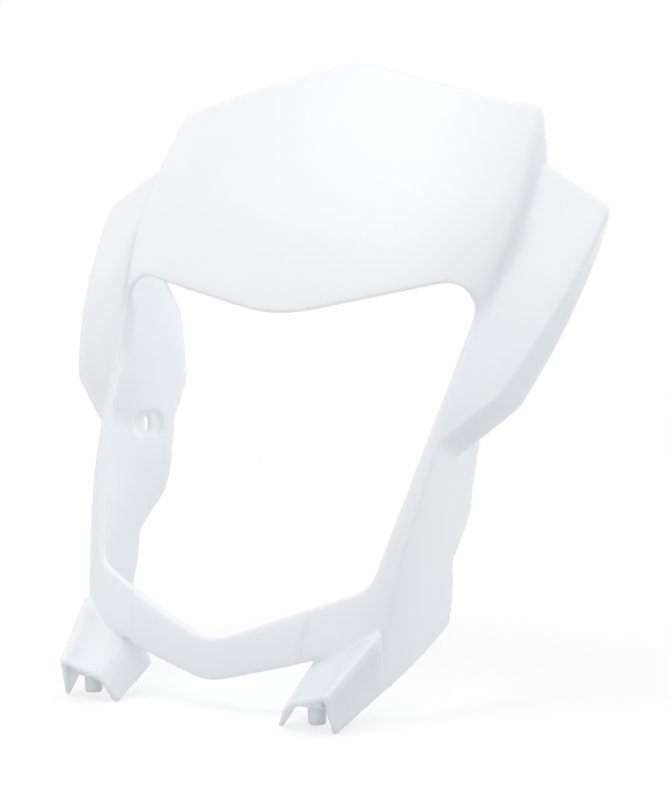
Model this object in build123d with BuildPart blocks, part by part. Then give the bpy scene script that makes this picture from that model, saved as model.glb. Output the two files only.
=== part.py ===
"""Motorcycle headlight mask: one thin moulded shell with brow, wings, cheeks, chin bar and two feet."""

import os
from math import cos, radians
from typing import NamedTuple

from build123d import *

# Frame: X across the motorcycle, Y to the rear, Z up, origin under the middle of the mask.
# Heights are measured from the tips of the feet and half-widths from the middle plane.

# Wall of the moulding, square to its skin and as it measures in plan on the raked front
WALL = 2.6
FRONT_RAKE = 28.0
PLAN_WALL = WALL / cos(radians(FRONT_RAKE))

# Bevel that breaks the free edges of the brow, the opening's lower side and the chin bar
EDGE_BREAK = 0.7

# Depth of the front ends of the feet
FRONT = -74.0

# Room by which trimming blocks pass the shell, and their reach from the middle
CLEAR = 12.0
REACH = 90.0
BACK = 110.0

# Free top edge of the brow and free lower edge of the chin bar, as two sloping lines and a round
CROWN_PEAK = 285.4
CROWN_FALL = 0.252
CROWN_ROUND = 50.0
CHIN_PEAK = 12.2
CHIN_RISE = 0.274
CHIN_ROUND = 32.0

# Raised plate across the middle of the chin bar, with slanting ends
PLATE_RISE = 1.5
PLATE_END = (46.0, -51.0)
PLATE_END_SLOPE = 0.9
PLATE_REAR = -42.0
PLATE_TOP = 62.0

# Lamp opening as seen from the front
OPENING_TOP = 167.2
OPENING_TOP_ROUND = 90.0
OPENING_SHOULDER = (94.8, 187.3)
OPENING_SHOULDER_ROUND = 13.0
OPENING_WAIST = (83.2, 116.5)
OPENING_TOE = (69.7, 56.5)
OPENING_TOE_ROUND = 12.0
OPENING_BOTTOM = 29.7
OPENING_BOTTOM_ROUND = 28.0
OPENING_DEPTH = 17.0
OPENING_RAKE = 0.45

# Free rear edges as seen from the side, given as depth and height
BELLY = (-68.3, 0.0)
BELLY_CLIMB = 0.495
CHEEK_FOOT = 3.0
CHEEK_EDGE = ((6.5, 46.0), (8.5, 63.0), (28.5, 80.0), (33.0, 96.0), (37.0, 113.0), (49.5, 131.0),
              (54.0, 165.0), (50.0, 180.0), (44.5, 192.0), (49.0, 209.0))
CHEEK_ROUND = 7.0
NOTCH = (63.5, 232.5)
TEMPLE = (73.6, 261.1)

# Wings: the front skin rises between an inner and an outer rail, given as height and two depths
WING_ROOT = 80.0
WING_REACH = 145.0
WING_RAILS = ((90.0, -23.0, -30.0), (165.0, 7.5, 25.0), (250.0, 59.0, 91.5))
WING_SLIDE = 0.28
WING_TOP = (136.2, 233.4)
WING_TOP_FALL = 0.593
WING_TOP_ROUND = 8.0
WING_MIDDLE = (126.8, 180.0)
WING_HEEL = (111.5, 135.5)
WING_HEEL_SLOPE = 1.02
WING_HEEL_ROUND = 10.0
WING_RIM = (49.0, 187.5)
WING_RIM_SLOPE = 2.0
WING_RIM_DEPTH = 64.5
WING_CREASE_BREAK = 0.9

# Feet: channels open below and in front, each with a round pin under its roof
FOOT_OUTER = 68.7
FOOT_INNER = 46.6
FOOT_SPLAY = 0.29
FOOT_HEIGHT = 17.6
FOOT_TILT = 0.376
FOOT_CLIMB = 0.6115
FOOT_LEG_FLARE = 0.42
FOOT_NOSE_SLANT = 0.14
FOOT_ROOF_BREAK = 3.2
FOOT_LENGTH = 37.0
FOOT_WEB = 74.0
PIN_RADIUS = 4.0
PIN_PLACE = (58.0, -63.5)
PIN_TIP = 2.4
PIN_SEAT = 10.4
PIN_SEAT_WIDTH = 12.8

# Slots in the cheeks, each in a shallow oval dish on the inner side
SLOT_WIDTH = 2.9
SLOT_HEIGHT = 6.5
SLOT_PLACE = (17.5, 113.0)
DISH_LENGTH = 21.0
DISH_HEIGHT = 12.0
DISH_DEPTH = 0.9

FRONT_VIEW = Plane(origin=(0, 0, 0), x_dir=(1, 0, 0), z_dir=(0, -1, 0))


class Station(NamedTuple):
    """Half plan section at one height: front curve from the nose to the corner, then the side wall."""

    height: float
    nose: float
    front_x: float
    front_y: float
    cheekbone_x: float
    cheekbone_y: float
    corner_x: float
    corner_y: float
    side_x: float
    side_y: float
    hip_x: float
    hip_y: float
    splay: float


STATIONS = (
    Station(-3.0, -61.5, 47, -61.0, 72, -54, 78.0, -43.0, 83.5, -24, 89.0, -4.0, 0.0),
    Station(44.0, -53.0, 47, -52.5, 73, -45, 79.3, -37.5, 84.8, -20, 89.0, -1.0, -0.02),
    Station(79.0, -39.5, 45, -39.0, 73, -33, 83.3, -29.5, 86.0, -14, 88.0, -2.0, -0.11),
    Station(112.0, -26.5, 48, -26.0, 75, -19, 88.6, -15.8, 88.6, -9, 88.2, -3.0, -0.10),
    Station(161.0, -5.0, 56, -5.0, 82, -1, 92.3, 8.5, 92.4, 16, 92.4, 24.0, -0.05),
    Station(202.0, 16.0, 60, 16.0, 88, 20, 99.8, 31.0, 101.0, 36, 102.4, 41.0, 0.2),
    Station(237.0, 38.0, 58, 38.0, 87, 43.5, 99.9, 54.0, 101.9, 58.4, 104.0, 63.0, 0.46),
    Station(261.0, 54.0, 56, 54.0, 84, 60, 97.0, 73.3, 98.2, 76.0, 99.6, 79.0, 0.46),
    Station(300.0, 82.0, 55, 82.0, 80, 90, 93.0, 104, 94.2, 106.7, 95.6, 109.7, 0.46),
)
SECTIONS = 12
TOP = STATIONS[-1].height


def station_at(height: float) -> Station:
    """Section at any height, on smooth curves through the named stations."""
    index = max(i for i, station in enumerate(STATIONS[:-1]) if station.height <= height)
    low, high = STATIONS[index], STATIONS[index + 1]
    before = STATIONS[max(index - 1, 0)]
    after = STATIONS[min(index + 2, len(STATIONS) - 1)]
    span = high.height - low.height
    low_share = span / (high.height - before.height)
    high_share = span / (after.height - low.height)
    t = (height - low.height) / span
    values = []
    for a, b, c, d in zip(before, low, high, after):
        start = b * (1 + 2 * t) * (1 - t) ** 2 + (c - a) * low_share * t * (1 - t) ** 2
        end = c * t * t * (3 - 2 * t) - (d - b) * high_share * t * t * (1 - t)
        values.append(start + end)
    return Station(*values)


def inset_points(points: list, distance: float) -> list:
    """Move an open control polygon to its left by a distance, with mitred corners."""
    vectors = [Vector(*point) for point in points]
    moved = []
    for index, point in enumerate(vectors):
        before = vectors[max(index - 1, 0)]
        after = vectors[min(index + 1, len(vectors) - 1)]
        runs = [end - start for start, end in ((before, point), (point, after)) if end != start]
        normals = [Vector(-run.Y, run.X).normalized() for run in runs]
        total = sum(normals[1:], normals[0])
        moved.append(point + total * (distance / total.dot(normals[0])))
    return [(point.X, point.Y) for point in moved]


def bucket(inset: float, back: float) -> Part:
    """All that lies behind the front skin and between the cheeks, shrunk by the inset."""
    bottom = STATIONS[0].height
    with BuildPart() as volume:
        for index in range(SECTIONS + 1):
            at = station_at(bottom + (TOP - bottom) * index / SECTIONS)
            rear = (at.hip_x + at.splay * (BACK - at.hip_y), BACK)
            outline = [(0, at.nose), (at.front_x, at.front_y), (at.cheekbone_x, at.cheekbone_y),
                       (at.corner_x, at.corner_y), (at.side_x, at.side_y), (at.hip_x, at.hip_y), rear]
            nose, front, cheekbone, corner, side, hip, rear = inset_points(outline, inset)
            with BuildSketch(Plane.XY.offset(at.height)):
                with BuildLine():
                    Bezier((0, nose[1]), front, cheekbone, corner)
                    Bezier(corner, side, hip, (rear[0], back))
                    Line((rear[0], back), (0, back))
                    Line((0, back), (0, nose[1]))
                make_face()
        loft()
    return volume.part


def wing(inset: float, back: float) -> Part:
    """The block behind one wing's front skin and inside its outline, shrunk by the inset."""
    skin_inset = inset * PLAN_WALL / WALL
    lift = REACH * WING_SLIDE
    root = WING_ROOT - CLEAR
    top_root = WING_TOP[1] + (WING_TOP[0] - root) * WING_TOP_FALL
    heel_root = WING_HEEL[1] - (WING_HEEL[0] - root) * WING_HEEL_SLOPE
    with BuildPart() as block:
        for height, inner, outer in WING_RAILS:
            with BuildSketch(Plane.XY.offset(height)):
                with BuildLine():
                    Polyline((WING_ROOT, inner + skin_inset), (WING_REACH, outer + skin_inset),
                             (WING_REACH, back), (WING_ROOT, back), close=True)
                make_face()
        loft()
        with BuildSketch(FRONT_VIEW.offset(REACH)) as outline:
            with BuildLine():
                heel, middle, top = [(x, z + lift) for x, z in (WING_HEEL, WING_MIDDLE, WING_TOP)]
                ThreePointArc(heel, middle, top)
                Polyline(top, (root, top_root + lift), (root, heel_root + lift), heel)
            make_face()
            fillet(outline.vertices().sort_by_distance(top)[0], WING_TOP_ROUND)
            fillet(outline.vertices().sort_by_distance(heel)[0], WING_HEEL_ROUND)
            if inset:
                offset(amount=-inset, kind=Kind.INTERSECTION)
        extrude(amount=2 * REACH, dir=(0, 1, -WING_SLIDE), mode=Mode.INTERSECT)
    return block.part


def foot(inset: float, reach: float) -> Part:
    """One foot as a solid block under its sloping roof, shrunk by the inset and longer in front."""
    nose = FRONT - reach
    far = WING_ROOT + 2 * CLEAR
    drop = reach * FOOT_CLIMB
    inner_roof, outer_roof = [FOOT_HEIGHT - drop + (x - FOOT_OUTER) * FOOT_TILT for x in (FOOT_INNER, far)]
    with BuildPart() as block:
        with BuildSketch(FRONT_VIEW.offset(-nose)) as profile:
            with BuildLine():
                Polyline((FOOT_INNER, inner_roof), (far, outer_roof), (far, -REACH),
                         (FOOT_INNER - (inner_roof + REACH) * FOOT_LEG_FLARE, -REACH), close=True)
            make_face()
            chamfer(profile.vertices().sort_by_distance((FOOT_INNER, inner_roof))[0], FOOT_ROOF_BREAK)
            if inset:
                offset(amount=-inset, kind=Kind.INTERSECTION)
        extrude(amount=FOOT_LENGTH + reach, dir=(0, 1, FOOT_CLIMB))
        front_x = FOOT_OUTER - reach * FOOT_SPLAY - inset
        rear_x = front_x + 2 * REACH * FOOT_SPLAY
        with BuildSketch(Plane.XY.offset(-REACH)):
            with BuildLine():
                Polyline((0, nose + front_x * FOOT_NOSE_SLANT), (front_x, nose), (rear_x, nose + 2 * REACH),
                         (0, nose + 2 * REACH), close=True)
            make_face()
        extrude(amount=2 * REACH, mode=Mode.INTERSECT)
    return block.part


def wall_edges(block: BuildPart, x: float, height: float) -> ShapeList:
    """The wall's outer and inner edge that a straight view from the front meets at one place."""
    sight = Edge.make_line((x, -REACH, height), (x, BACK, height))
    return block.edges().sort_by_distance(sight)[:2].sort_by(Axis.Y)


cavity = bucket(PLAN_WALL, BACK + CLEAR)

with BuildPart() as dish:
    add(bucket(PLAN_WALL - DISH_DEPTH, BACK + CLEAR))
    with BuildSketch(Plane.YZ):
        with Locations(SLOT_PLACE):
            SlotOverall(DISH_LENGTH, DISH_HEIGHT)
    extrude(amount=REACH + CLEAR, mode=Mode.INTERSECT)

# Trimming blocks
with BuildPart() as cheek_trim:
    with BuildSketch(Plane.YZ) as outline:
        with BuildLine():
            Polyline((FRONT - CLEAR, BELLY[1] + (FRONT - CLEAR - BELLY[0]) * BELLY_CLIMB),
                     (CHEEK_FOOT, BELLY[1] + (CHEEK_FOOT - BELLY[0]) * BELLY_CLIMB),
                     *CHEEK_EDGE, NOTCH, TEMPLE, (TEMPLE[0] + CLEAR, TOP), (FRONT - CLEAR, TOP), close=True)
        make_face()
        for place in CHEEK_EDGE:
            fillet(outline.vertices().sort_by_distance(place)[0], CHEEK_ROUND)
    extrude(amount=WING_REACH)

with BuildPart() as rim_trim:
    with BuildSketch(Plane.YZ):
        with BuildLine():
            Polyline((FRONT - CLEAR, WING_RIM[1] - (WING_RIM[0] - FRONT + CLEAR) * WING_RIM_SLOPE),
                     (WING_RIM_DEPTH, WING_RIM[1] + (WING_RIM_DEPTH - WING_RIM[0]) * WING_RIM_SLOPE),
                     (WING_RIM_DEPTH, TOP), (FRONT - CLEAR, TOP), close=True)
        make_face()
    extrude(amount=WING_REACH)

with BuildPart() as edge_trim:
    with BuildSketch(FRONT_VIEW.offset(REACH)) as outline:
        with BuildLine():
            Polyline((0, CROWN_PEAK), (WING_REACH, CROWN_PEAK - WING_REACH * CROWN_FALL),
                     (WING_REACH, -CLEAR), (FOOT_WEB, -CLEAR), (FOOT_WEB, CHIN_PEAK + FOOT_WEB * CHIN_RISE),
                     (0, CHIN_PEAK))
            mirror(about=Plane.YZ)
        make_face()
        fillet(outline.vertices().sort_by_distance((0, CROWN_PEAK))[0], CROWN_ROUND)
        fillet(outline.vertices().sort_by_distance((0, CHIN_PEAK))[0], CHIN_ROUND)
    extrude(amount=-2 * REACH)

with BuildPart() as opening:
    with BuildSketch(FRONT_VIEW.offset(REACH)) as outline:
        with BuildLine():
            Line((0, OPENING_TOP), OPENING_SHOULDER)
            ThreePointArc(OPENING_SHOULDER, OPENING_WAIST, OPENING_TOE)
            Line(OPENING_TOE, (0, OPENING_BOTTOM))
            mirror(about=Plane.YZ)
        make_face()
        for side in (-1, 1):
            shoulder = (side * OPENING_SHOULDER[0], OPENING_SHOULDER[1])
            toe = (side * OPENING_TOE[0], OPENING_TOE[1])
            fillet(outline.vertices().sort_by_distance(shoulder)[0], OPENING_SHOULDER_ROUND)
            fillet(outline.vertices().sort_by_distance(toe)[0], OPENING_TOE_ROUND)
        fillet(outline.vertices().sort_by_distance((0, OPENING_TOP))[0], OPENING_TOP_ROUND)
        fillet(outline.vertices().sort_by_distance((0, OPENING_BOTTOM))[0], OPENING_BOTTOM_ROUND)
    extrude(amount=-2 * REACH)
    rear_end = Plane(origin=(0, OPENING_DEPTH, OPENING_TOP), z_dir=(0, 1, -OPENING_RAKE))
    split(bisect_by=rear_end, keep=Keep.BOTTOM)

# Bucket: brow, cheeks and chin bar round the lamp
with BuildPart() as bucket_shell:
    add(bucket(0, BACK))
    add(cavity, mode=Mode.SUBTRACT)
    add(cheek_trim.part, mode=Mode.INTERSECT)
    add(edge_trim.part, mode=Mode.INTERSECT)
    add(opening.part, mode=Mode.SUBTRACT)
    chamfer(wall_edges(bucket_shell, FOOT_INNER, CROWN_PEAK - FOOT_INNER * CROWN_FALL), EDGE_BREAK)
    chamfer(wall_edges(bucket_shell, FOOT_INNER, CHIN_PEAK + FOOT_INNER * CHIN_RISE), EDGE_BREAK)
    toe_share = FOOT_INNER / OPENING_TOE[0]
    opening_edge = OPENING_BOTTOM + (OPENING_TOE[1] - OPENING_BOTTOM) * toe_share
    chamfer(wall_edges(bucket_shell, FOOT_INNER, opening_edge)[0], EDGE_BREAK)
    with BuildSketch(Plane.YZ.offset(OPENING_TOE[0])) as slot:
        with Locations(SLOT_PLACE):
            SlotOverall(SLOT_HEIGHT, SLOT_WIDTH, rotation=90)
    extrude(amount=REACH, mode=Mode.SUBTRACT)
    add(dish.part, mode=Mode.SUBTRACT)

# Plate on the chin bar
with BuildPart() as chin_plate:
    add(bucket(-PLATE_RISE, BACK))
    add(bucket(PLAN_WALL / 2, BACK + CLEAR), mode=Mode.SUBTRACT)
    add(edge_trim.part, mode=Mode.INTERSECT)
    add(opening.part, mode=Mode.SUBTRACT)
    with BuildSketch(Plane.XY):
        with BuildLine():
            Polyline((0, FRONT), (PLATE_END[0] + (FRONT - PLATE_END[1]) * PLATE_END_SLOPE, FRONT),
                     PLATE_END, (PLATE_END[0], PLATE_REAR), (0, PLATE_REAR), close=True)
        make_face()
    extrude(amount=PLATE_TOP, mode=Mode.INTERSECT)

# Wing tray, open to the rear
with BuildPart() as wing_shell:
    add(wing(0, BACK))
    skin = wing_shell.faces().sort_by(Axis.Y)[0]
    chamfer(skin.edges().filter_by(lambda edge: (edge @ 0.5).X > WING_ROOT + CLEAR), WING_CREASE_BREAK)
    add(wing(WALL, BACK + CLEAR), mode=Mode.SUBTRACT)
    add(rim_trim.part, mode=Mode.INTERSECT)
    add(cavity, mode=Mode.SUBTRACT)
    add(opening.part, mode=Mode.SUBTRACT)

# Foot channel
with BuildPart() as foot_shell:
    add(foot(0, 0))
    add(foot(WALL, CLEAR), mode=Mode.SUBTRACT)
    with BuildSketch(Plane.YZ):
        with BuildLine():
            Polyline(BELLY, (BELLY[0] + REACH, BELLY[1] + REACH * BELLY_CLIMB), (BELLY[0] + REACH, REACH),
                     (FRONT - CLEAR, REACH), (FRONT - CLEAR, FOOT_HEIGHT), (FRONT, FOOT_HEIGHT), close=True)
        make_face()
    extrude(amount=WING_REACH, mode=Mode.INTERSECT)

# Pin on its flat seat, standing in the channel with its root halfway into the roof
with BuildPart() as pin:
    with Locations((*PIN_PLACE, PIN_TIP)):
        Cylinder(PIN_RADIUS, REACH, align=(Align.CENTER, Align.CENTER, Align.MIN))
    with Locations((*PIN_PLACE, PIN_SEAT)):
        Box(PIN_SEAT_WIDTH, PIN_SEAT_WIDTH, REACH, align=(Align.CENTER, Align.CENTER, Align.MIN))
    add(foot(WALL / 2, CLEAR), mode=Mode.INTERSECT)

with BuildPart() as behind_chin:
    add(cavity)
    with Locations((FOOT_INNER + 2 * WALL, FRONT, 0)):
        Box(REACH, REACH, REACH, align=(Align.MIN, Align.MIN, Align.CENTER), mode=Mode.INTERSECT)

with BuildPart() as mask:
    add(bucket_shell.part)
    add(chin_plate.part)
    add(wing_shell.part)
    add(foot_shell.part - behind_chin.part)
    add(pin.part)
    mirror(about=Plane.YZ)

mask.part.label = "headlight_mask"
os.makedirs("parts", exist_ok=True)
export_step(mask.part, "parts/headlight_mask.step")
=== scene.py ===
"""Dressed view of a one-piece moulded headlight mask: white satin plastic on a plain white floor.

The shell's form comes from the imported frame. This script rounds its edges as a moulding's are, gives it
its finish, and sets up the floor, the lamps and the camera. Lengths are in metres unless a name ends in
_mm. X runs across the mask from its middle, Y to its rear and Z up from the floor.
"""

import logging
import math
from dataclasses import dataclass, field
from enum import Enum
from typing import Optional

import bpy
from mathutils import Matrix, Vector


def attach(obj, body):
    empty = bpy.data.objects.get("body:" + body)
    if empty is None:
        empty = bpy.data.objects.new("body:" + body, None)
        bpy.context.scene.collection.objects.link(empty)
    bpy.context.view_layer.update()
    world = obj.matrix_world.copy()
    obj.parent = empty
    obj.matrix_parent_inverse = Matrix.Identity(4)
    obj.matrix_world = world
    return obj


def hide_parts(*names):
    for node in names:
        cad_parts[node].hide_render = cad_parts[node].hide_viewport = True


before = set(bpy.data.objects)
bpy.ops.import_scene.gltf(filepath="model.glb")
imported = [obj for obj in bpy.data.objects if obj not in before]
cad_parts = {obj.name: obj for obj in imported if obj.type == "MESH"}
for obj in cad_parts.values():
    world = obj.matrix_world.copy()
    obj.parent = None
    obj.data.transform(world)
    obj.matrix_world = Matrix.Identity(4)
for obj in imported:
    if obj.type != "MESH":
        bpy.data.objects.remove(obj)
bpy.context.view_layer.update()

LOG = logging.getLogger("mask")
MM = 0.001
WHITE = "#ffffff"
Point = tuple[float, float, float]
Marks = tuple[float, float, float, float]

# The sRGB curve is a straight line up to its toe and a power above it.
SRGB_TOE = 0.04045
SRGB_SLOPE = 12.92
SRGB_OFFSET = 0.055
SRGB_POWER = 2.4

# The Mix node's colour sockets share their names with its other sockets, so they go by number.
MIX_SHARE = 0
MIX_FIRST = 6
MIX_SECOND = 7
MIX_RESULT = 2


def linear(hex_colour: str) -> tuple[float, float, float, float]:
    """Turn an sRGB hex colour into the linear colour that a shader takes.

    Args:
        hex_colour: six hex digits, with or without a leading hash.

    Returns:
        Linear red, green and blue with an alpha of one.
    """
    digits = hex_colour.lstrip("#")
    channels = []
    for start in (0, 2, 4):
        value = int(digits[start:start + 2], 16) / 255
        if value <= SRGB_TOE:
            channels.append(value / SRGB_SLOPE)
        else:
            channels.append(((value + SRGB_OFFSET) / (1 + SRGB_OFFSET)) ** SRGB_POWER)
    return (*channels, 1.0)


def add_node(
    tree: bpy.types.NodeTree,
    kind: str,
    settings: Optional[dict] = None,
    inputs: Optional[dict] = None,
) -> bpy.types.Node:
    """Add one node with its settings, and set or link its inputs.

    Args:
        tree: the node tree that receives the node.
        kind: the node's Blender type name.
        settings: attributes of the node by name.
        inputs: values, or output sockets to link from, by input name or index.

    Returns:
        The new node.
    """
    node = tree.nodes.new(kind)
    for name, value in (settings or {}).items():
        setattr(node, name, value)
    for name, value in (inputs or {}).items():
        if isinstance(value, bpy.types.NodeSocket):
            tree.links.new(value, node.inputs[name])
        else:
            node.inputs[name].default_value = value
    return node


def new_tree(name: str) -> tuple[bpy.types.Material, bpy.types.NodeTree]:
    """Make a material with an empty node tree.

    Args:
        name: the material's name.

    Returns:
        The material and its node tree.
    """
    material = bpy.data.materials.new(name)
    material.use_nodes = True
    material.node_tree.nodes.clear()
    return material, material.node_tree


def background_rays(tree: bpy.types.NodeTree, rays: bpy.types.NodeOutputs) -> bpy.types.NodeSocket:
    """Tell the rays that show the background from those that light the object.

    Args:
        tree: the node tree that receives the nodes.
        rays: the outputs of its Light Path node.

    Returns:
        A socket that is one for camera, glossy and transmission rays, and zero for the others.
    """
    direct = add_node(tree, "ShaderNodeMath", {"operation": "MAXIMUM"}, {
        0: rays["Is Camera Ray"], 1: rays["Is Glossy Ray"]})
    every = add_node(tree, "ShaderNodeMath", {"operation": "MAXIMUM"}, {
        0: direct.outputs[0], 1: rays["Is Transmission Ray"]})
    return every.outputs[0]


class Gloss(Enum):
    """How the mould's steel was left, as the roughness that it gives the plastic."""

    POLISHED = 0.22
    SATIN = 0.34
    MATT = 0.55


@dataclass(frozen=True)
class Pattern:
    """Blotches on a surface: the distance between them, octaves of finer ones, and height if raised."""

    size_mm: float
    octaves: float
    height_mm: float = 0.0


@dataclass(frozen=True)
class MouldedAbs:
    """Injection-moulded ABS, dyed through in a cool white, from a satin mould.

    The dye is even, so colour hardly varies. What the eye gets is a broad soft highlight, a faint ripple
    where the wall shrank, and small rounded edges that catch a thin line of light. Light goes a few
    millimetres into the plastic, which keeps its shadows pale. The mould's grain is too fine to show, and
    is drawn as coarse as it needs.
    """

    name: str = "moulded_abs_cool_white"
    colour: str = "#eceef2"
    thick_colour: str = "#e7eaf0"
    gloss: Gloss = Gloss.SATIN
    gloss_spread: float = 0.05
    ior: float = 1.54
    flow: Pattern = Pattern(60.0, 2.0)
    ripple: Pattern = Pattern(9.0, 1.0, 0.012)
    grain: Pattern = Pattern(0.9, 3.0, 0.004)

    # The folds at the wings' roots are rounder than other edges, within a band across and a band upwards.
    # A band's marks are where it starts, is full, starts to fade and ends.
    edge_round_mm: float = 1.3
    root_round_mm: float = 7.0
    root_across_mm: Marks = (86.0, 95.0, 104.0, 116.0)
    root_height_mm: Marks = (132.0, 150.0, 200.0, 224.0)
    edge_samples: int = 16

    # Light of each colour goes equally deep.
    glow_depth_mm: float = 8.0
    glow_radii: tuple[float, float, float] = (1.0, 1.0, 1.0)
    glow_weight: float = 0.8

    def build(self) -> bpy.types.Material:
        """Make the material with its nodes.

        Returns:
            The material.
        """
        material, tree = new_tree(self.name)
        place = add_node(tree, "ShaderNodeTexCoord").outputs["Object"]
        flow, ripple, grain = (
            add_node(tree, "ShaderNodeTexNoise", {"noise_dimensions": "3D"}, {
                "Vector": place,
                "Scale": 1 / (pattern.size_mm * MM),
                "Detail": pattern.octaves}).outputs["Fac"]
            for pattern in (self.flow, self.ripple, self.grain))
        tint = add_node(tree, "ShaderNodeMix", {"data_type": "RGBA"}, {
            MIX_SHARE: flow, MIX_FIRST: linear(self.colour), MIX_SECOND: linear(self.thick_colour)})
        rough = add_node(tree, "ShaderNodeMapRange", {}, {
            "Value": grain,
            "To Min": self.gloss.value - self.gloss_spread,
            "To Max": self.gloss.value + self.gloss_spread})
        normal = add_node(tree, "ShaderNodeBevel", {"samples": self.edge_samples}, {
            "Radius": self._round(tree, place)}).outputs["Normal"]
        for height, pattern in ((ripple, self.ripple), (grain, self.grain)):
            normal = add_node(tree, "ShaderNodeBump", {}, {
                "Strength": 1.0,
                "Distance": pattern.height_mm * MM,
                "Height": height,
                "Normal": normal}).outputs["Normal"]
        surface = add_node(tree, "ShaderNodeBsdfPrincipled", {}, {
            "Base Color": tint.outputs[MIX_RESULT],
            "Roughness": rough.outputs["Result"],
            "IOR": self.ior,
            "Normal": normal,
            "Subsurface Weight": self.glow_weight,
            "Subsurface Radius": self.glow_radii,
            "Subsurface Scale": self.glow_depth_mm * MM})
        add_node(tree, "ShaderNodeOutputMaterial", {}, {"Surface": surface.outputs["BSDF"]})
        return material

    def _round(self, tree: bpy.types.NodeTree, place: bpy.types.NodeSocket) -> bpy.types.NodeSocket:
        """Radius of the rounded edges, larger at the roots of the wings.

        Args:
            tree: the material's node tree.
            place: the position on the mask.

        Returns:
            The radius's socket, in metres.
        """
        parts = add_node(tree, "ShaderNodeSeparateXYZ", {}, {"Vector": place}).outputs
        side = add_node(tree, "ShaderNodeMath", {"operation": "ABSOLUTE"}, {0: parts["X"]})
        across = self._band(tree, side.outputs[0], self.root_across_mm)
        upright = self._band(tree, parts["Z"], self.root_height_mm)
        share = add_node(tree, "ShaderNodeMath", {"operation": "MULTIPLY"}, {0: across, 1: upright})
        radius = add_node(tree, "ShaderNodeMapRange", {}, {
            "Value": share.outputs[0],
            "To Min": self.edge_round_mm * MM,
            "To Max": self.root_round_mm * MM})
        return radius.outputs["Result"]

    @staticmethod
    def _band(
        tree: bpy.types.NodeTree, along: bpy.types.NodeSocket, marks_mm: Marks
    ) -> bpy.types.NodeSocket:
        """A band that fades in and out along one direction.

        Args:
            tree: the material's node tree.
            along: the position along the direction, in metres.
            marks_mm: where the band starts, is full, starts to fade and ends.

        Returns:
            A socket that is one inside the band and zero outside it.
        """
        start, full, fade, end = (mark * MM for mark in marks_mm)
        rise = add_node(tree, "ShaderNodeMapRange", {"interpolation_type": "SMOOTHSTEP"}, {
            "Value": along, "From Min": start, "From Max": full})
        fall = add_node(tree, "ShaderNodeMapRange", {"interpolation_type": "SMOOTHSTEP"}, {
            "Value": along, "From Min": fade, "From Max": end, "To Min": 1.0, "To Max": 0.0})
        band = add_node(tree, "ShaderNodeMath", {"operation": "MULTIPLY"}, {
            0: rise.outputs["Result"], 1: fall.outputs["Result"]})
        return band.outputs[0]


@dataclass(frozen=True)
class PaintedFloor:
    """Matt white paint on a flat floor, which goes out into the white background.

    The eye gets the mask's soft shadow on an otherwise plain white floor: for the camera, the floor glows
    by the share near_glow within near_m of the mask's middle, and fully from far_m on.
    """

    name: str = "matt_white_floor_paint"
    colour: str = "#e2e4e6"
    near_m: float = 0.3
    far_m: float = 1.4
    near_glow: float = 0.7

    def build(self) -> bpy.types.Material:
        """Make the floor's material: paint for the light, and white that outshines it for the camera.

        Returns:
            The material.
        """
        material, tree = new_tree(self.name)
        rays = add_node(tree, "ShaderNodeLightPath").outputs
        seen = background_rays(tree, rays)
        shade = add_node(tree, "ShaderNodeMix", {"data_type": "RGBA"}, {
            MIX_SHARE: seen, MIX_FIRST: linear(self.colour), MIX_SECOND: linear(WHITE)})
        paint = add_node(tree, "ShaderNodeBsdfDiffuse", {}, {"Color": shade.outputs[MIX_RESULT]})
        glow = add_node(tree, "ShaderNodeEmission", {}, {"Color": linear(WHITE), "Strength": 1.0})
        place = add_node(tree, "ShaderNodeTexCoord").outputs["Object"]
        reach = add_node(tree, "ShaderNodeVectorMath", {"operation": "LENGTH"}, {0: place})
        spread = add_node(tree, "ShaderNodeMapRange", {"interpolation_type": "SMOOTHSTEP"}, {
            "Value": reach.outputs["Value"], "From Min": self.near_m, "From Max": self.far_m,
            "To Min": self.near_glow, "To Max": 1.0})
        share = add_node(tree, "ShaderNodeMath", {"operation": "MULTIPLY"}, {
            0: seen, 1: spread.outputs["Result"]})
        mixed = add_node(tree, "ShaderNodeMixShader", {}, {
            0: share.outputs[0], 1: paint.outputs["BSDF"], 2: glow.outputs["Emission"]})
        add_node(tree, "ShaderNodeOutputMaterial", {}, {"Surface": mixed.outputs["Shader"]})
        return material


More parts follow.
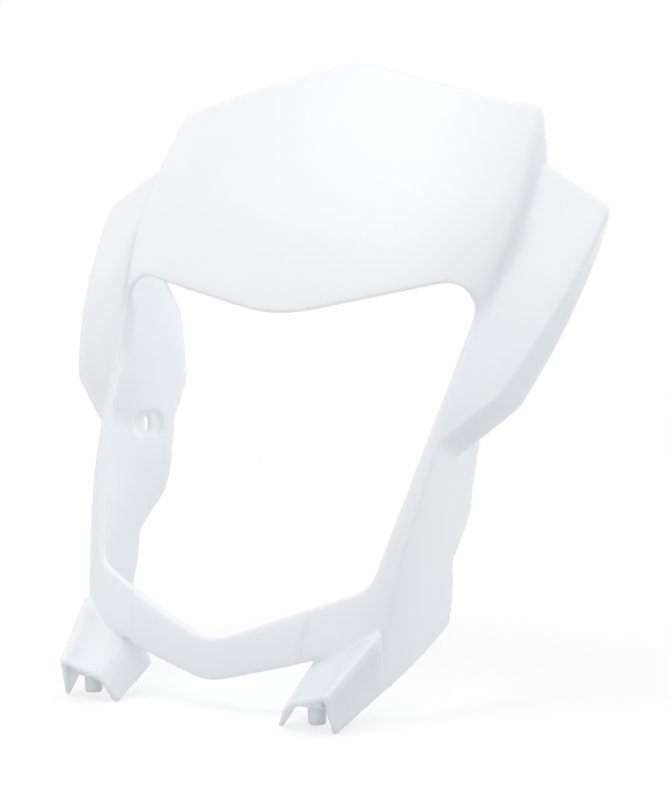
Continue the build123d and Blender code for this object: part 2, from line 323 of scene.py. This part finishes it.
@dataclass
class WindowRamp:
    """Slope inside the window's side, from the window's edge back to the cheek's inner wall.

    The window is cut a little into the cheek near its upper corner, and the slope fills the step that
    this leaves. It is a thin bar, made from sections on its way up the cheek. Its side is 1 at the
    picture's right and -1 at its left.
    """

    side: int

    # Heights of the bar's ends, and how many sections it has.
    low_mm: float = 137.0
    high_mm: float = 175.5
    section_count: int = 24

    # The window is cut along a line that rises by this much for each millimetre forward. The step lies
    # step_mm along that line from the origin, and the slope reaches reach_mm in front of the step.
    rake: float = 0.45
    step_mm: float = 53.05
    reach_mm: float = 5.0

    # How far behind and in front of the step its walls are measured, and how deep the bar sinks into them.
    probe_mm: float = 0.3
    sink_mm: float = 0.5

    def build(self, shell: bpy.types.Object) -> bpy.types.Object:
        """Build the slope on the shell that carries it.

        Args:
            shell: the mask's shell.

        Returns:
            The slope's object.
        """
        forward = Vector((0.0, -1.0, self.rake)).normalized()
        probe = forward * self.probe_mm
        sink = forward * self.sink_mm
        sections = []
        for index in range(self.section_count):
            height = self.low_mm + (self.high_mm - self.low_mm) * index / (self.section_count - 1)
            depth = (forward.z * height - self.step_mm) / -forward.y
            foot = Vector((0.0, depth, height))
            head = foot + forward * self.reach_mm
            inner = self._wall(shell, foot - probe)
            outer = max(self._wall(shell, foot + probe), inner)
            front = max(self._wall(shell, head), inner)
            sections.append((
                Vector((inner, *foot.yz)) - sink,
                Vector((outer + self.sink_mm, *foot.yz)) - sink,
                Vector((front + self.sink_mm, *head.yz)),
                Vector((front, *head.yz))))
        return self._prism(sections)

    def _wall(self, shell: bpy.types.Object, place_mm: Vector) -> float:
        """Distance in millimetres from the middle to the shell's wall on this side.

        Args:
            shell: the mask's shell.
            place_mm: the point in the middle that the distance is measured from.

        Returns:
            The wall's distance, or zero where there is no wall.
        """
        found, place, _normal, _face = shell.ray_cast(place_mm * MM, Vector((self.side, 0.0, 0.0)))
        return abs(place.x) / MM if found else 0.0

    def _prism(self, sections: list[tuple[Vector, ...]]) -> bpy.types.Object:
        """Join the sections' corners into one closed bar.

        Args:
            sections: each section's corners, in millimetres on the positive side.

        Returns:
            The bar's object.
        """
        around = len(sections[0])
        points = [(self.side * p.x * MM, p.y * MM, p.z * MM) for ring in sections for p in ring]
        faces = [tuple(range(around)), tuple(reversed(range(len(points) - around, len(points))))]
        for ring in range(len(sections) - 1):
            for edge in range(around):
                here, beside = ring * around + edge, ring * around + (edge + 1) % around
                faces.append((here, here + around, beside + around, beside))
        if self.side > 0:
            faces = [tuple(reversed(face)) for face in faces]
        name = "window_ramp_right" if self.side > 0 else "window_ramp_left"
        mesh = bpy.data.meshes.new(name)
        mesh.from_pydata(points, [], faces)
        mesh.validate()
        ramp = bpy.data.objects.new(name, mesh)
        bpy.context.collection.objects.link(ramp)
        return ramp


@dataclass
class MaskShell:
    """The whole mask, one moulded shell.

    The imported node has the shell's true form with crisp edges. The moulding made here is the same form
    with its edges and folds rounded by a millimetre or two, as they leave the mould, and stands for it.
    """

    node: str = "headlight_mask"
    piece: str = "mask_moulding"
    slot: str = "shell"
    body: str = "root"

    # Size of the even mesh's faces, how it is smoothed, and the share of its faces that is kept.
    grid_mm: float = 0.8
    soften_share: float = 0.5
    soften_passes: int = 8
    keep_share: float = 0.25
    finish: MouldedAbs = field(default_factory=MouldedAbs)

    def build(self) -> bpy.types.Object:
        """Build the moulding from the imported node.

        Returns:
            The moulding's object.
        """
        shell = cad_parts[self.node]
        moulding = bpy.data.objects.new(self.piece, shell.data.copy())
        bpy.context.collection.objects.link(moulding)
        ramps = [WindowRamp(side).build(shell) for side in (1, -1)]
        for ramp in ramps:
            join = moulding.modifiers.new(ramp.name, "BOOLEAN")
            join.operation, join.solver, join.object = "UNION", "EXACT", ramp
        self._soften(moulding)
        solid = moulding.evaluated_get(bpy.context.evaluated_depsgraph_get())
        moulding.data = bpy.data.meshes.new_from_object(solid)
        moulding.modifiers.clear()
        for ramp in ramps:
            bpy.data.objects.remove(ramp)
        return moulding

    def _soften(self, moulding: bpy.types.Object) -> None:
        """Give the moulding an even mesh and round its edges.

        Args:
            moulding: the moulding's object.
        """
        grid = moulding.modifiers.new("even_grid", "REMESH")
        grid.mode, grid.voxel_size = "VOXEL", self.grid_mm * MM
        soften = moulding.modifiers.new("soften", "SMOOTH")
        soften.factor, soften.iterations = self.soften_share, self.soften_passes
        thin = moulding.modifiers.new("thin_out", "DECIMATE")
        thin.ratio = self.keep_share

    def dress(self, moulding: bpy.types.Object) -> None:
        """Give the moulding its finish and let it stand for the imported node.

        Args:
            moulding: the moulding's object.
        """
        moulding.data.materials.clear()
        moulding.data.materials.append(self.finish.build())
        moulding.data.shade_smooth()
        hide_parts(self.node)
        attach(moulding, self.body)


@dataclass(frozen=True)
class Lamp:
    """A rectangular soft lamp aimed at a point."""

    name: str
    place: Point
    target: Point
    size: tuple[float, float]
    watts: float

    def build(self) -> bpy.types.Object:
        """Make the lamp and aim it.

        Returns:
            The lamp's object.
        """
        data = bpy.data.lights.new(self.name, "AREA")
        data.shape = "RECTANGLE"
        data.size, data.size_y = self.size
        data.energy = self.watts
        lamp = bpy.data.objects.new(self.name, data)
        lamp.location = self.place
        aim = Vector(self.target) - lamp.location
        lamp.rotation_euler = aim.to_track_quat("-Z", "Y").to_euler()
        bpy.context.collection.objects.link(lamp)
        return lamp


@dataclass
class Studio:
    """Floor, background, lamps and camera."""

    floor_size: float = 12.0
    sky_strength: float = 0.745

    # The camera was fitted to the picture of 670 by 800 pixels. The sensor spans its longer side.
    camera_place: Point = (0.4991, -0.8018, 0.2290)
    azimuth_deg: float = 30.32
    elevation_deg: float = 6.0
    roll_deg: float = -0.26
    lens_mm: float = 94.5
    sensor_mm: float = 36.0

    # They give an even light from above, the pale middle of the brow and the bright insides of the cheeks.
    lamps: tuple[Lamp, ...] = (
        Lamp("overhead_lamp", (0.15, -0.1, 1.7), (0.0, 0.0, 0.16), (1.2, 1.2), 4.8),
        Lamp("brow_lamp", (-0.6, -0.5, 1.6), (0.0, 0.03, 0.21), (0.6, 0.6), 3.9),
        Lamp("rear_lamp", (0.8, 1.25, 0.4), (0.0, 0.0, 0.14), (0.9, 0.9), 4.5),
    )

    def build(self) -> None:
        """Make the whole studio."""
        self._floor()
        self._sky()
        for lamp in self.lamps:
            lamp.build()
            LOG.info("lamp %s", lamp.name)
        self._camera()

    def _floor(self) -> None:
        """Lay the floor level with the tips of the feet."""
        half = self.floor_size / 2
        corners = [(-half, -half, 0), (half, -half, 0), (half, half, 0), (-half, half, 0)]
        mesh = bpy.data.meshes.new("floor")
        mesh.from_pydata(corners, [], [tuple(range(len(corners)))])
        mesh.materials.append(PaintedFloor().build())
        floor = bpy.data.objects.new("floor", mesh)
        bpy.context.collection.objects.link(floor)

    def _sky(self) -> None:
        """Light from all round, which the camera and reflections see as plain white."""
        world = bpy.data.worlds.new("white_surround")
        bpy.context.scene.world = world
        world.use_nodes = True
        tree = world.node_tree
        tree.nodes.clear()
        rays = add_node(tree, "ShaderNodeLightPath").outputs
        strength = add_node(tree, "ShaderNodeMapRange", {}, {
            "Value": background_rays(tree, rays), "To Min": self.sky_strength, "To Max": 1.0})
        background = add_node(tree, "ShaderNodeBackground", {}, {
            "Color": linear(WHITE), "Strength": strength.outputs["Result"]})
        add_node(tree, "ShaderNodeOutputWorld", {}, {"Surface": background.outputs["Background"]})

    def _camera(self) -> None:
        """Stand the camera where the photograph was taken from."""
        data = bpy.data.cameras.new("camera")
        data.lens = self.lens_mm
        data.sensor_width = self.sensor_mm
        data.sensor_fit = "AUTO"
        camera = bpy.data.objects.new("camera", data)
        turn = Matrix.Rotation(math.radians(self.azimuth_deg), 4, "Z")
        tilt = Matrix.Rotation(math.radians(90 - self.elevation_deg), 4, "X")
        roll = Matrix.Rotation(math.radians(self.roll_deg), 4, "Z")
        camera.matrix_world = Matrix.Translation(self.camera_place) @ turn @ tilt @ roll
        bpy.context.collection.objects.link(camera)
        bpy.context.scene.camera = camera


def main() -> None:
    """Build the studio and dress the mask."""
    logging.basicConfig(level=logging.INFO, format="%(name)s: %(message)s")
    bpy.context.scene.view_settings.view_transform = "Standard"
    Studio().build()
    mask = MaskShell()
    moulding = mask.build()
    mask.dress(moulding)
    LOG.info("moulding %s, %d faces", moulding.name, len(moulding.data.polygons))


if __name__ == "__main__":
    main()
